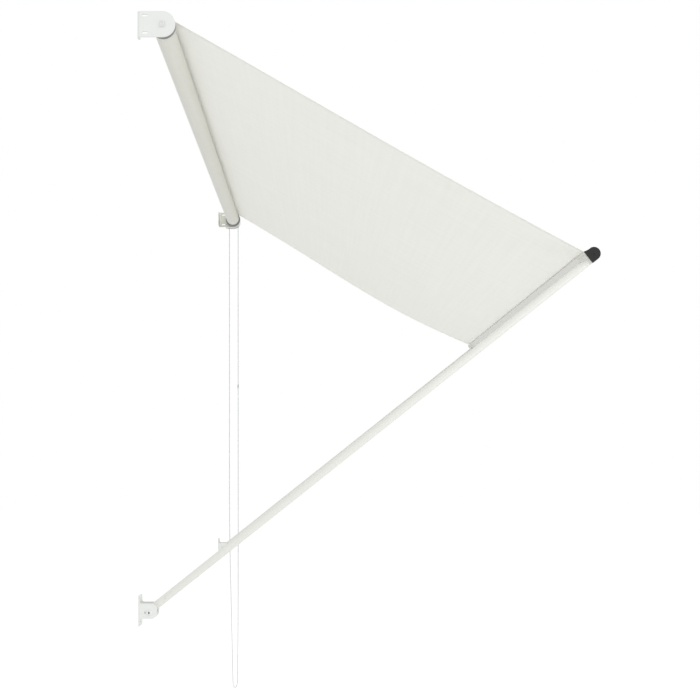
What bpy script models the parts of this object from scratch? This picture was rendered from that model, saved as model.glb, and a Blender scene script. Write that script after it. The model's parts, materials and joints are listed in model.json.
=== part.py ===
"""A drop-arm window awning at its real size: a cloth roller on two wall brackets, worked by a bead chain,
and a frame of two arms and a front bar that swings on two lower wall brackets and holds the cloth out.

Metres, +Z up. The wall is the plane y = 0 and the awning reaches out along -Y. X runs along the roller, from
the idle end to the drive end, where the chain is. The origin is on the idle bracket's wall face, level with
the roller. Side views are drawn as (out, up) and the swinging frame as (along the arm, square to it).
"""

import math

import bmesh
import bpy
from mathutils import Matrix, Vector

# Driving sizes
WIDTH = 1.5  # between the outer faces of the two upper brackets
IDLE_FACE = -0.017  # x of the idle bracket's outer face; its wall flange is centred on the origin
DRIVE_FACE = IDLE_FACE + WIDTH
AXIS_OUT = 0.068  # roller axis from the wall
PIVOT_OUT = 0.030  # arm pivot from the wall
PIVOT_DROP = 1.578  # arm pivot below the roller axis
ARM_REACH = 1.5364  # arm pivot to the middle of the front bar, along the arm
ARM_TILT = math.radians(38.5)  # the arms above level, awning out
ARM_INSET = 0.026  # arm centre line, inward of the bracket face
ARM_RISE = 0.0038  # the arm's centre line above the pivot, square to the arm
BAR_RISE = 0.011  # front bar's middle above the pivot, square to the arm
GAP = 0.0003  # between pieces that touch

# Sheet brackets
SHEET = 0.003
BRACKET_HALF = 0.0345  # half the height, and the radius of the round end
FLANGE = 0.030
FLANGE_CORNER = 0.022
FLANGE_SLOT_IN = 0.017
BEND = 0.008  # outer radius of the fold
FOOT_HALF = 0.0415
FOOT_WIDE = 0.030
FOOT_RAISE = 0.0038  # middle of the foot bracket above the pivot
EAR_HALF = 0.0207
EAR_CORNER = 0.0145
EAR_REACH = 0.0205  # past the pivot
BOLT_HOLE = 0.0053
PEG_SLOT = (0.0055, 0.0026)
PEG_BACK = 0.0112  # behind the pivot
BOLT_RECESS = (0.0078, 0.0042)
RECESS_DEEP = 0.009

# Roller
TUBE_OUTER = 0.028
TUBE_WALL = 0.0012
TUBE_INSET = 0.014
SLIT_HALF = 0.0012  # the slit in the tube that the cloth goes through
ROD_IN_TUBE = 0.0240  # hem rod, from the roller's axis
ROLL_OUTER = 0.029  # over the turns of cloth that stay on the tube
CLOTH_INSET = 0.018
DISC_RADIUS = 0.034
PIN_RADIUS = 0.006
SLEEVE_RADIUS = 0.012
BOSS_HALF = 0.0085  # the square bearing boss on the idle bracket
BOSS_PROUD = 0.0016
CORE_RADIUS = 0.0055

# Chain
CHAIN_WIDE = 0.0045
CHAIN_X = DRIVE_FACE + 0.022
WHEEL_PITCH = 0.0210  # from the axis to the chain's middle
CUPS = 16
CHAIN_TOP = -0.0305
CHAIN_ROUTE = [  # (out, up), down the wall side and up the front
    (0.0470, CHAIN_TOP),
    (0.0470, -0.30),
    (0.0470, -0.85),
    (0.0472, -1.40),
    (0.0508, -1.66),
    (0.0570, -1.92),
    (0.0612, -2.12),
    (0.0632, -2.20),
    (0.0640, -2.236),
    (0.0660, -2.2525),
    (0.0705, -2.2605),
    (0.0760, -2.2618),
    (0.0810, -2.2575),
    (0.0843, -2.2470),
    (0.0855, -2.2250),
    (0.0866, -2.15),
    (0.0882, -2.00),
    (0.0892, -1.70),
    (0.0892, -1.10),
    (0.0890, -0.50),
    (0.0890, CHAIN_TOP),
]
ROUTE_STEPS = 4

# Arms and front bar
ARM_RADIUS = 0.0105
ARM_WALL = 0.0013
ARM_START = 0.030
ARM_END = 1.507
HEAD_PLUG = 0.045  # into the arm
HEAD_SCREW_IN = 0.027  # screw from the arm's centre line, along the bar
PLUG_RADIUS = ARM_RADIUS - ARM_WALL - GAP
RIVETS = (0.060, 0.079)  # along the arm
NOSE = 0.0172
BAR_BACK = 0.017
BAR_WALL = 0.0014
LIP_START = -0.003
LIP_CURVE = 1.5
LIP_RISE = 0.0028
GROOVE = (-0.0115, 0.0150)
GROOVE_RADIUS = 0.0026
HOLLOW_TOP = 0.0110
SLOT_HALF = 0.0008
BAR_INSET = 0.0100
CAP_WALL = 0.0042
CAP_EDGE = 0.0008

# Cloth
CLOTH_THICK = 0.001
CLOTH_SAG = 0.018
CLOTH_CLEAR = 0.001  # the cloth's middle above the bar, where it goes into the groove
CLOTH_STEPS = 16

ENDS = {"idle": (IDLE_FACE, 1), "drive": (DRIVE_FACE, -1)}
SIDE_VIEW = Matrix(((0, 0, -1), (-1, 0, 0), (0, 1, 0)))  # columns: out, up, -X
ALONG_X = Matrix.Rotation(math.pi / 2, 3, "Y")
IDENTITY = Matrix.Identity(3)


def clear_scene():
    for obj in list(bpy.data.objects):
        bpy.data.objects.remove(obj)


def new_collection(name):
    collection = bpy.data.collections.new(name)
    bpy.context.scene.collection.children.link(collection)
    return collection


def new_material(name, colour, roughness, metallic=0.0):
    material = bpy.data.materials.new(name)
    material.use_nodes = True
    shader = material.node_tree.nodes["Principled BSDF"]
    shader.inputs["Base Color"].default_value = (*colour, 1)
    shader.inputs["Roughness"].default_value = roughness
    shader.inputs["Metallic"].default_value = metallic
    material.diffuse_color = (*colour, 1)
    return material


clear_scene()
PARTS = new_collection("canvas_awning")
CUTTERS = new_collection("cutters")
WHITE_COAT = new_material("white_powder_coat", (0.80, 0.81, 0.79), 0.45)
CLOTH = new_material("cream_coated_cloth", (0.79, 0.79, 0.71), 0.8)
BLACK = new_material("black_plastic", (0.02, 0.02, 0.02), 0.5)
GREY = new_material("grey_plastic", (0.45, 0.46, 0.45), 0.5)
WHITE_PLASTIC = new_material("white_plastic", (0.78, 0.79, 0.77), 0.4)
GALVANISED = new_material("galvanised_steel", (0.40, 0.41, 0.40), 0.5, 0.6)
ZINC = new_material("zinc_plated_steel", (0.42, 0.42, 0.41), 0.4, 1.0)
SPRING_STEEL = new_material("spring_steel", (0.25, 0.25, 0.26), 0.35, 1.0)


# Placing and joining


def place(obj, location, rotation=IDENTITY, parent=None):
    obj.location = location
    obj.rotation_euler = rotation.to_euler()
    obj.parent = parent
    return obj


def finish(obj, material):
    """A part keeps one material and round faces shaded smooth."""
    obj.data.materials.clear()
    obj.data.materials.append(material)
    if obj.type == "MESH":
        obj.data.shade_smooth()
        obj.data.set_sharp_from_angle(angle=math.radians(35))
    PARTS.objects.link(obj)
    return obj


def as_cutter(obj):
    obj.hide_render = True
    obj.display_type = "WIRE"
    CUTTERS.objects.link(obj)
    return obj


def boolean(obj, other, operation="DIFFERENCE"):
    modifier = obj.modifiers.new(operation.title(), "BOOLEAN")
    modifier.object = as_cutter(other)
    modifier.operation = operation
    return obj


# Shapes


def outline_curve(name, outlines, thickness):
    """A flat outline, with any holes, as thick as thickness about its own plane."""
    curve = bpy.data.curves.new(name, "CURVE")
    curve.dimensions = "2D"
    curve.fill_mode = "BOTH"
    curve.extrude = thickness / 2
    for outline in outlines:
        spline = curve.splines.new("POLY")
        spline.points.add(len(outline) - 1)
        spline.use_cyclic_u = True
        for point, (x, y) in zip(spline.points, outline):
            point.co = (x, y, 0, 1)
    return bpy.data.objects.new(name, curve)


def as_mesh(obj):
    """A curve object made a welded mesh object, so that it can be cut and joined."""
    PARTS.objects.link(obj)
    graph = bpy.context.evaluated_depsgraph_get()
    mesh = bpy.data.meshes.new_from_object(obj.evaluated_get(graph))
    work = bmesh.new()
    work.from_mesh(mesh)
    bmesh.ops.remove_doubles(work, verts=work.verts, dist=1e-6)
    bmesh.ops.recalc_face_normals(work, faces=work.faces)
    work.to_mesh(mesh)
    work.free()
    name = obj.name
    curve = obj.data
    bpy.data.objects.remove(obj)
    bpy.data.curves.remove(curve)
    return bpy.data.objects.new(name, mesh)


def prism(name, outlines, thickness):
    return as_mesh(outline_curve(name, outlines, thickness))


def turned(name, outline, steps=32, closed=True):
    """A profile of (radius, along) turned about the local Z axis. It runs down its outer side."""
    mesh = bpy.data.meshes.new(name)
    work = bmesh.new()
    points = [work.verts.new((radius, 0, along)) for radius, along in outline]
    for first, second in zip(points, points[1:]):
        work.edges.new((first, second))
    if closed:
        work.edges.new((points[-1], points[0]))
    work.to_mesh(mesh)
    work.free()
    obj = bpy.data.objects.new(name, mesh)
    screw = obj.modifiers.new("Turn", "SCREW")
    screw.axis = "Z"
    screw.steps = screw.render_steps = steps
    screw.use_merge_vertices = True
    screw.merge_threshold = 1e-6
    return obj


def ring(name, inner, outer, low, high, steps=32):
    return turned(name, [(outer, high), (outer, low), (inner, low), (inner, high)], steps)


def rod(name, radius, low, high, steps=20):
    return turned(name, [(0, high), (radius, high), (radius, low), (0, low)], steps, False)


def box(name, low, high):
    mesh = bpy.data.meshes.new(name)
    work = bmesh.new()
    size = Vector(high) - Vector(low)
    middle = (Vector(high) + Vector(low)) / 2
    matrix = Matrix.Translation(middle) @ Matrix.Diagonal((*size, 1))
    bmesh.ops.create_cube(work, size=1, matrix=matrix)
    work.to_mesh(mesh)
    work.free()
    return bpy.data.objects.new(name, mesh)


def wire(name, points, radius):
    curve = bpy.data.curves.new(name, "CURVE")
    curve.dimensions = "3D"
    curve.bevel_depth = radius
    curve.bevel_resolution = 2
    curve.use_fill_caps = True
    spline = curve.splines.new("POLY")
    spline.points.add(len(points) - 1)
    for point, place_at in zip(spline.points, points):
        point.co = (*place_at, 1)
    return bpy.data.objects.new(name, curve)


def arc(centre, radius, start, end, steps):
    """Points on an arc, angles in degrees, both ends included."""
    angles = [math.radians(start + (end - start) * i / steps) for i in range(steps + 1)]
    return [(centre[0] + radius * math.cos(a), centre[1] + radius * math.sin(a)) for a in angles]


def circle(centre, radius, steps=20):
    return arc(centre, radius, 0, 360, steps)[:-1]


def oval(centre, length, width):
    """A slot with round ends that runs along the first axis."""
    reach = (length - width) / 2
    right = (centre[0] + reach, centre[1])
    left = (centre[0] - reach, centre[1])
    return arc(right, width / 2, -90, 90, 6) + arc(left, width / 2, 90, 270, 6)


def inward(end, depth):
    """x of a point this deep inside the outer face of that end's bracket."""
    face, sign = ENDS[end]
    return face + sign * depth


# Upper brackets


def bracket_sheet(end):
    """The folded sheet seen from above: the wall flange, the fold and the side plate, full height."""
    _, sign = ENDS[end]
    fold = (BEND, -BEND)
    outer = arc(fold, BEND, 90, 180, 6)
    inner = arc(fold, BEND - SHEET, 180, 90, 6)
    reach = -(AXIS_OUT + BRACKET_HALF + 0.01)
    outline = [(FLANGE, 0), *outer, (0, reach), (SHEET, reach), *inner, (FLANGE, -SHEET)]
    outline = [(inward(end, 0) + sign * depth, y) for depth, y in outline]
    return prism(f"{end}_wall_bracket", [outline], 2 * BRACKET_HALF)


def bullet(half, back):
    """Side view of the bracket: square towards the wall and round about the roller axis."""
    return [(back, half), (back, -half), *arc((AXIS_OUT, 0), half, -90, 90, 24)]


def wall_bracket(end, bore):
    face, sign = ENDS[end]
    bracket = bracket_sheet(end)
    side = prism(f"{end}_bracket_side", [bullet(BRACKET_HALF, -0.01)], 0.1)
    boolean(bracket, place(side, (face, 0, 0), SIDE_VIEW), "INTERSECT")
    edge = FLANGE - FLANGE_CORNER
    corner = BRACKET_HALF - FLANGE_CORNER
    flange = [(-0.02, -0.05), (edge, -0.05), *arc((edge, -corner), FLANGE_CORNER, -90, 0, 8)]
    flange += [*arc((edge, corner), FLANGE_CORNER, 0, 90, 8), (edge, 0.05), (-0.02, 0.05)]
    flange = [(sign * x, y) for x, y in flange]
    cheek = prism(f"{end}_bracket_flange", [flange], 0.4)
    boolean(bracket, place(cheek, (face, 0, 0), Matrix.Rotation(math.pi / 2, 3, "X")), "INTERSECT")
    for level, height in (("high", 0.023), ("low", -0.023)):
        slot = prism(f"{end}_side_slot_{level}", [oval((0.0214, height), 0.016, 0.006)], 0.02)
        boolean(bracket, place(slot, (face, 0, 0), SIDE_VIEW))
        hole = prism(f"{end}_flange_slot_{level}", [oval((0, 0.86 * height), 0.011, 0.0055)], 0.02)
        place(hole, (inward(end, FLANGE_SLOT_IN), 0, 0), Matrix.Rotation(math.pi / 2, 3, "X"))
        boolean(bracket, hole)
    centre = rod(f"{end}_bracket_bore", bore, -0.02, 0.02)
    boolean(bracket, place(centre, (face, -AXIS_OUT, 0), ALONG_X))
    return bracket


# The idle end


def idle_end():
    """The bracket, a square bearing boss on its face, and the slotted pin that carries the roller."""
    bracket = wall_bracket("idle", PIN_RADIUS + GAP)
    finish(bracket, WHITE_COAT)
    axis = (IDLE_FACE, -AXIS_OUT, 0)
    edge = BOSS_HALF - 0.002
    corners = ((edge, -edge, -90), (edge, edge, 0), (-edge, edge, 90), (-edge, -edge, 180))
    square = [p for x, y, turn in corners for p in arc((x, y), 0.002, turn, turn + 90, 4)]
    boss = prism("idle_boss", [square, circle((0, 0), PIN_RADIUS + GAP)], BOSS_PROUD)
    middle = (IDLE_FACE - GAP - BOSS_PROUD / 2, -AXIS_OUT, 0)
    finish(place(boss, middle, SIDE_VIEW), WHITE_PLASTIC)
    pin = [(0, 0.045), (0.0045, 0.045), (PIN_RADIUS, 0.0435), (PIN_RADIUS, -0.0020)]
    pin += [(0.0050, -0.0028), (0, -0.0028)]
    pin = turned("idle_pin", pin, 20, False)
    slot = box("pin_slot", (-0.0045, -0.0011, -0.004), (0.0045, 0.0011, -0.0012))
    boolean(pin, place(slot, axis, ALONG_X))
    finish(place(pin, axis, ALONG_X), ZINC)


# The roller


def roller(axis):
    low = inward("idle", TUBE_INSET)
    high = inward("drive", TUBE_INSET)
    bore = TUBE_OUTER - TUBE_WALL
    tube = ring("roller_tube", bore, TUBE_OUTER, low, high, 32)
    slit = box("roller_slit", (low, 0.02, -SLIT_HALF), (high, 0.04, SLIT_HALF))
    boolean(tube, place(slit, (0, 0, 0), IDENTITY, axis))
    finish(place(tube, (0, 0, 0), ALONG_X, axis), WHITE_COAT)
    spline = rod("roller_spline", 0.0022, low + 0.05, high - 0.05, 12)
    finish(place(spline, (0, ROD_IN_TUBE, 0), ALONG_X, axis), WHITE_PLASTIC)
    cloth = ring(
        "wound_cloth",
        TUBE_OUTER + GAP,
        ROLL_OUTER,
        inward("idle", CLOTH_INSET),
        inward("drive", CLOTH_INSET),
        48,
    )
    finish(place(cloth, (0, 0, 0), ALONG_X, axis), CLOTH)
    for end, hole in (("idle", PIN_RADIUS + GAP), ("drive", SLEEVE_RADIUS + GAP)):
        face, sign = ENDS[end]
        outline = [(hole, 0.0045), (DISC_RADIUS - 0.001, 0.0045), (DISC_RADIUS, 0.0055)]
        outline += [(DISC_RADIUS, TUBE_INSET - 0.0015), (DISC_RADIUS - 0.001, TUBE_INSET - GAP)]
        outline += [(bore - GAP, TUBE_INSET - GAP), (bore - GAP, 0.050), (hole, 0.050)]
        if sign > 0:
            outline.reverse()
        outline = [(radius, sign * depth) for radius, depth in outline]
        plug = turned(f"{end}_plug", outline, 36)
        finish(place(plug, (face, 0, 0), ALONG_X, axis), GREY)


# The drive end: wheel, clutch and housing, outside the bracket


def chain_wheel(axis):
    """A pulley with cups that grip the beads, on a sleeve that reaches through the bracket into the plug."""
    bed = WHEEL_PITCH - CHAIN_WIDE / 2 - GAP
    cup = math.tau / CUPS
    outline = []
    for i in range(CUPS):
        for turn, depth in ((0.0, 0.0012), (0.22, 0.0008), (0.34, 0.0), (0.66, 0.0), (0.78, 0.0008)):
            angle = (i + turn) * cup
            outline.append(((bed - depth) * math.cos(angle), (bed - depth) * math.sin(angle)))
    wheel = prism("chain_wheel", [outline], 0.0060)
    for side in (-1, 1):
        low, high = sorted((side * 0.0027, side * 0.0050))
        flange = rod(f"wheel_flange_{side}", WHEEL_PITCH + 0.0033, low, high, 32)
        boolean(wheel, place(flange, (CHAIN_X, -AXIS_OUT, 0), ALONG_X), "UNION")
    sleeve = rod("wheel_sleeve", SLEEVE_RADIUS, -0.068, 0.004, 28)
    boolean(wheel, place(sleeve, (CHAIN_X, -AXIS_OUT, 0), ALONG_X), "UNION")
    bore = rod("wheel_bore", CORE_RADIUS + 0.0026, -0.08, 0.02, 24)
    boolean(wheel, place(bore, (CHAIN_X, -AXIS_OUT, 0), ALONG_X))
    finish(place(wheel, (CHAIN_X, 0, 0), ALONG_X, axis), WHITE_PLASTIC)


def brake_spring(axis):
    turns, per_turn, radius, length = 5, 12, 0.0068, 0.012
    points = []
    for i in range(turns * per_turn + 1):
        angle = math.tau * i / per_turn
        along = length * i / (turns * per_turn)
        points.append((radius * math.cos(angle), radius * math.sin(angle), along))
    spring = wire("brake_spring", points, 0.0006)
    finish(place(spring, (DRIVE_FACE - 0.020, 0, 0), ALONG_X, axis), SPRING_STEEL)


def clutch():
    face = DRIVE_FACE + GAP
    depth = 0.033
    wall = 0.002
    outer = bullet(0.0325, 0.0305)
    inner = bullet(0.0325 - wall, 0.0305 + wall)
    posts = {"high": (0.0365, 0.0245), "low": (0.0365, -0.0245)}
    housing = prism("clutch_housing", [outer], depth)
    hollow = prism("housing_hollow", [inner], depth)
    boolean(housing, place(hollow, (face + depth / 2 - wall, 0, 0), SIDE_VIEW))
    low = (CHAIN_X - 0.004, -AXIS_OUT - 0.0262, -0.05)
    high = (CHAIN_X + 0.004, -AXIS_OUT + 0.0262, -0.012)
    boolean(housing, box("chain_mouth", low, high))
    for level, (out, up) in posts.items():
        post = rod(f"housing_post_{level}", 0.0042, face + 0.0001, face + depth - wall / 2)
        boolean(housing, place(post, (0, -out, up), ALONG_X), "UNION")
    for level, (out, up) in posts.items():
        bore = rod(f"housing_bore_{level}", 0.0019, face - 0.02, face + depth + 0.02, 16)
        boolean(housing, place(bore, (0, -out, up), ALONG_X))
    finish(place(housing, (face + depth / 2, 0, 0), SIDE_VIEW), WHITE_PLASTIC)

    bracket = wall_bracket("drive", SLEEVE_RADIUS + 0.0008)
    for level, (out, up) in posts.items():
        bore = rod(f"drive_bracket_bore_{level}", 0.0019, -0.02, 0.02, 16)
        boolean(bracket, place(bore, (DRIVE_FACE, -out, up), ALONG_X))
        top = face + depth + GAP
        screw = [(0, 0.0021), (0.0018, 0.0021), (0.0034, 0.0009), (0.0036, 0), (0.0016, 0)]
        screw += [(0.0016, -depth - 0.006), (0, -depth - 0.0068)]
        screw = turned(f"housing_screw_{level}", screw, 14, False)
        finish(place(screw, (top, -out, up), ALONG_X), ZINC)
    finish(bracket, GALVANISED)

    root = face + depth - wall - GAP
    core = [(0, 0), (0.0110, 0), (0.0110, -0.0020), (CORE_RADIUS, -0.0020)]
    core += [(CORE_RADIUS, -0.0740), (CORE_RADIUS - 0.001, -0.0750), (0, -0.0750)]
    finish(place(turned("clutch_core", core, 20, False), (root, -AXIS_OUT, 0), ALONG_X), WHITE_PLASTIC)


# The bead chain


def smooth_route(route, steps):
    """Points read from a smooth curve through the route's own points."""
    padded = [route[0], *route, route[-1]]
    points = []
    for before, start, end, after in zip(padded, padded[1:], padded[2:], padded[3:]):
        before, start, end, after = (Vector(p) for p in (before, start, end, after))
        span = (end - start).length
        leave = (end - before) * span / ((start - before).length + span)
        arrive = (after - start) * span / ((after - end).length + span)
        for i in range(steps):
            t = i / steps
            point = (2 * t**3 - 3 * t**2 + 1) * start + (t**3 - 2 * t**2 + t) * leave
            points.append(point + (3 * t**2 - 2 * t**3) * end + (t**3 - t**2) * arrive)
    return points + [Vector(route[-1])]


def bead_chain():
    loop = [(CHAIN_X, -out, up) for out, up in smooth_route(CHAIN_ROUTE, ROUTE_STEPS)]
    finish(wire("chain_loop", loop, CHAIN_WIDE / 2), WHITE_PLASTIC)
    over = arc((AXIS_OUT, 0), WHEEL_PITCH, 180, 0, 18)
    end = CHAIN_TOP + GAP
    over = [(over[0][0], end), *over, (over[-1][0], end)]
    over = [(CHAIN_X, -out, up) for out, up in over]
    finish(wire("chain_on_wheel", over, CHAIN_WIDE / 2), WHITE_PLASTIC)
    joint = ring("chain_connector", CHAIN_WIDE / 2 + GAP, 0.0038, -0.008, 0.008, 12)
    finish(place(joint, (CHAIN_X, -CHAIN_ROUTE[-1][0], -0.80)), WHITE_PLASTIC)


# Lower brackets, with the pins that the arms turn on


def foot_bracket(end):
    x = inward(end, ARM_INSET)
    wide = FOOT_WIDE / 2
    reach = -(PIVOT_OUT + EAR_REACH + 0.01)
    fold = 0.005
    left = (fold - wide, -fold)
    right = (wide - fold, -fold)
    outline = [(-wide, reach), *arc(left, fold, 180, 90, 4), *arc(right, fold, 90, 0, 4)]
    outline += [(wide, reach), (wide - SHEET, reach), *arc(right, fold - SHEET, 0, 90, 4)]
    outline += [*arc(left, fold - SHEET, 90, 180, 4), (SHEET - wide, reach)]
    bracket = prism(f"{end}_foot_bracket", [outline], 2 * FOOT_HALF)
    inner = 0.0105
    corner = PIVOT_OUT + EAR_REACH - EAR_CORNER
    turn = EAR_HALF - EAR_CORNER
    side = [(-0.01, FOOT_HALF), (-0.01, -FOOT_HALF), (0.0045, -FOOT_HALF)]
    side += [*arc((inner, -EAR_HALF - 0.006), 0.006, 180, 90, 4)]
    side += [*arc((corner, -turn), EAR_CORNER, -90, 0, 10), *arc((corner, turn), EAR_CORNER, 0, 90, 10)]
    side += [*arc((inner, EAR_HALF + 0.006), 0.006, 270, 180, 4), (0.0045, FOOT_HALF)]
    ears = prism(f"{end}_foot_side", [side], 0.1)
    level = FOOT_RAISE - PIVOT_DROP
    boolean(bracket, place(ears, (x, 0, level), SIDE_VIEW), "INTERSECT")
    for name, height in (("high", 0.031), ("low", -0.031)):
        hole = prism(f"{end}_foot_slot_{name}", [oval((0, height), 0.010, 0.0055)], 0.03)
        boolean(bracket, place(hole, (x, 0, level), Matrix.Rotation(math.pi / 2, 3, "X")))
    bore = rod(f"{end}_foot_bore", BOLT_HOLE, -0.05, 0.05)
    boolean(bracket, place(bore, (x, -PIVOT_OUT, -PIVOT_DROP), ALONG_X))
    peg = prism(f"{end}_foot_peg_slot", [oval((0, 0), PEG_SLOT[0], PEG_SLOT[1])], 0.1)
    turned_up = SIDE_VIEW @ Matrix.Rotation(math.pi / 2, 3, "Z")
    boolean(bracket, place(peg, (x, PEG_BACK - PIVOT_OUT, -PIVOT_DROP), turned_up))
    finish(place(bracket, (x, 0, level)), WHITE_COAT)


def pivot_bolt(end):
    """The bolt goes through both ears, head outside and nut inside the awning. Its head has a deep slot."""
    _, sign = ENDS[end]
    outside = inward(end, ARM_INSET - FOOT_WIDE / 2) - sign * GAP
    bolt = [(0, -0.0026), (0.0060, -0.0026), (0.0074, -0.0018), (0.0078, 0), (0.005, 0)]
    bolt += [(0.005, 0.0390), (0.0042, 0.0400), (0, 0.0400)]
    nut_at = outside + sign * (FOOT_WIDE + 2 * GAP + 0.0025)
    if sign > 0:
        bolt.reverse()
    bolt = [(radius, sign * along) for radius, along in bolt]
    place_at = (outside, -PIVOT_OUT, -PIVOT_DROP)
    bolt = turned(f"{end}_pivot_bolt", bolt, 20, False)
    recess = prism(f"{end}_bolt_recess", [oval((0, 0), *BOLT_RECESS)], 2 * RECESS_DEEP)
    turned_up = SIDE_VIEW @ Matrix.Rotation(math.pi / 2, 3, "Z")
    boolean(bolt, place(recess, place_at, turned_up))
    finish(place(bolt, place_at, ALONG_X), WHITE_COAT)
    nut = outline_curve(f"{end}_pivot_nut", [circle((0, 0), 0.0092, 6), circle((0, 0), 0.0053)], 0.005)
    finish(place(nut, (nut_at, -PIVOT_OUT, -PIVOT_DROP), ALONG_X), WHITE_COAT)


# The swinging frame. Its own axes: along the arm, square to the arm, and -X


def arm(end, pivot):
    _, sign = ENDS[end]
    z = -inward(end, ARM_INSET)
    tube = ring(f"{end}_arm", ARM_RADIUS - ARM_WALL, ARM_RADIUS, ARM_START + GAP, ARM_END, 24)
    eye = [*arc((0, 0), 0.0125, 45, 315, 20), (0.024, ARM_RISE - 0.0088), (0.024, ARM_RISE + 0.0088)]
    foot = prism(f"{end}_arm_foot", [eye, circle((0, 0), 0.0076)], 0.016)
    collar = [(0, 0.098), (PLUG_RADIUS - 0.001, 0.098), (PLUG_RADIUS, 0.097)]
    collar += [(PLUG_RADIUS, ARM_START), (ARM_RADIUS, ARM_START), (ARM_RADIUS, 0.018), (0, 0.018)]
    plug = turned(f"{end}_foot_plug", collar, 20, False)
    boolean(foot, place(plug, (0, ARM_RISE, z), ALONG_X, pivot), "UNION")
    for number, at in enumerate(RIVETS, 1):
        for piece in (tube, foot):
            bore = rod(f"{piece.name}_rivet_bore_{number}", 0.0019, 0.003, 0.02, 12)
            turn = IDENTITY if sign > 0 else Matrix.Rotation(math.pi, 3, "X")
            boolean(piece, place(bore, (at, ARM_RISE, z), turn, pivot))
        profile = [(0, 0.0017), (0.0016, 0.0015), (0.0032, 0.0005), (0.0032, 0.0001), (0.0016, 0.0001)]
        profile += [(0.0016, -0.0060), (0, -0.0060)]
        rivet = turned(f"{end}_foot_rivet_{number}", profile, 12, False)
        place(rivet, (at, ARM_RISE, z + sign * (ARM_RADIUS + GAP)), turn, pivot)
        finish(rivet, WHITE_COAT)
    finish(place(tube, (0, ARM_RISE, z), ALONG_X, pivot), WHITE_COAT)
    finish(place(foot, (0, 0, z), IDENTITY, pivot), WHITE_COAT)
    pivot_bush(end, z, pivot)
    arm_head(end, z, pivot)


def pivot_bush(end, z, pivot):
    _, sign = ENDS[end]
    bore = 0.0053
    outline = [(bore, 0.0097), (0.0105, 0.0097), (0.0105, 0.0083), (0.0073, 0.0083)]
    outline += [(0.0073, -0.0080), (bore, -0.0080)]
    turn = IDENTITY if sign > 0 else Matrix.Rotation(math.pi, 3, "X")
    finish(place(turned(f"{end}_pivot_bush", outline, 20), (0, 0, z), turn, pivot), GREY)
    washer = ring(f"{end}_pivot_washer", bore, 0.0105, -0.0097, -0.0083, 20)
    finish(place(washer, (0, 0, z), turn, pivot), ZINC)


def arm_head(end, z, pivot):
    """A plug in the arm and a pad screwed to the back of the front bar."""
    _, sign = ENDS[end]
    back = ARM_REACH - BAR_BACK - GAP
    pad_thick = 0.004
    far = -sign * 0.040
    low = (back - pad_thick, BAR_RISE - 0.0160, min(sign * 0.0125, far))
    high = (back, BAR_RISE + 0.0120, max(sign * 0.0125, far))
    head = box(f"{end}_arm_head", low, high)
    plug = [(0, back - 0.001), (ARM_RADIUS, back - 0.001), (ARM_RADIUS, ARM_END + GAP)]
    start = ARM_END - HEAD_PLUG
    plug += [(PLUG_RADIUS, ARM_END + GAP), (PLUG_RADIUS, start + 0.001), (PLUG_RADIUS - 0.001, start)]
    plug += [(0, start)]
    plug = turned(f"{end}_head_plug", plug, 20, False)
    boolean(head, place(plug, (0, ARM_RISE, z), ALONG_X, pivot), "UNION")
    at = (back - pad_thick - GAP, BAR_RISE, z - sign * HEAD_SCREW_IN)
    hole = rod(f"{end}_head_bore", 0.0024, -0.01, 0.03, 16)
    boolean(head, place(hole, at, ALONG_X, pivot))
    finish(place(head, (0, 0, z), IDENTITY, pivot), WHITE_COAT)
    profile = [(0, 0.010), (0.0021, 0.010), (0.0021, 0), (0.0043, 0), (0.0041, -0.0014)]
    profile += [(0.0026, -0.0024), (0, -0.0026)]
    screw = turned(f"{end}_head_screw", profile, 14, False)
    finish(place(screw, at, ALONG_X, pivot), ZINC)


def bar_outline(edge=0.0):
    """The front bar's outer section about its middle, with an even edge added: (along the arm, square to it)."""
    nose = NOSE + edge
    back = -BAR_BACK
    ramp = []
    for i in range(7):
        share = i / 6
        rise = (LIP_RISE + 0.3 * edge) * share**LIP_CURVE
        ramp.append((LIP_START + (back - LIP_START) * share, nose + rise))
    return [(back, -nose), *arc((0, 0), nose, -90, 90, 24), *ramp]


def lip_rise_at(u):
    """How far the bar's top stands over its round nose, this far along the arm."""
    return LIP_RISE * ((LIP_START - u) / (BAR_BACK + LIP_START)) ** LIP_CURVE


def bar_with_groove():
    """The section with the round groove and its slot, which hold the cloth's hem rod."""
    outline = bar_outline()
    u, v = GROOVE
    half = math.degrees(math.asin(SLOT_HALF / GROOVE_RADIUS))
    inside = arc((u, v), GROOVE_RADIUS, 90 - half, 90 + half - 360, 14)
    surface = NOSE + lip_rise_at(u)
    before = [p for p in outline if p[0] > u + SLOT_HALF or p[1] < v]
    after = [p for p in outline if p[0] < u - SLOT_HALF and p[1] > v]
    mouth_in = (u + SLOT_HALF, surface)
    mouth_out = (u - SLOT_HALF, surface + 0.0002)
    return before + [mouth_in, *inside, mouth_out] + after


def bar_hollow():
    reach = NOSE - BAR_WALL
    back = -BAR_BACK + BAR_WALL
    lean = math.degrees(math.asin(HOLLOW_TOP / reach))
    return [(back, HOLLOW_TOP), (back, -reach), *arc((0, 0), reach, -90, lean, 16)]


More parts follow.
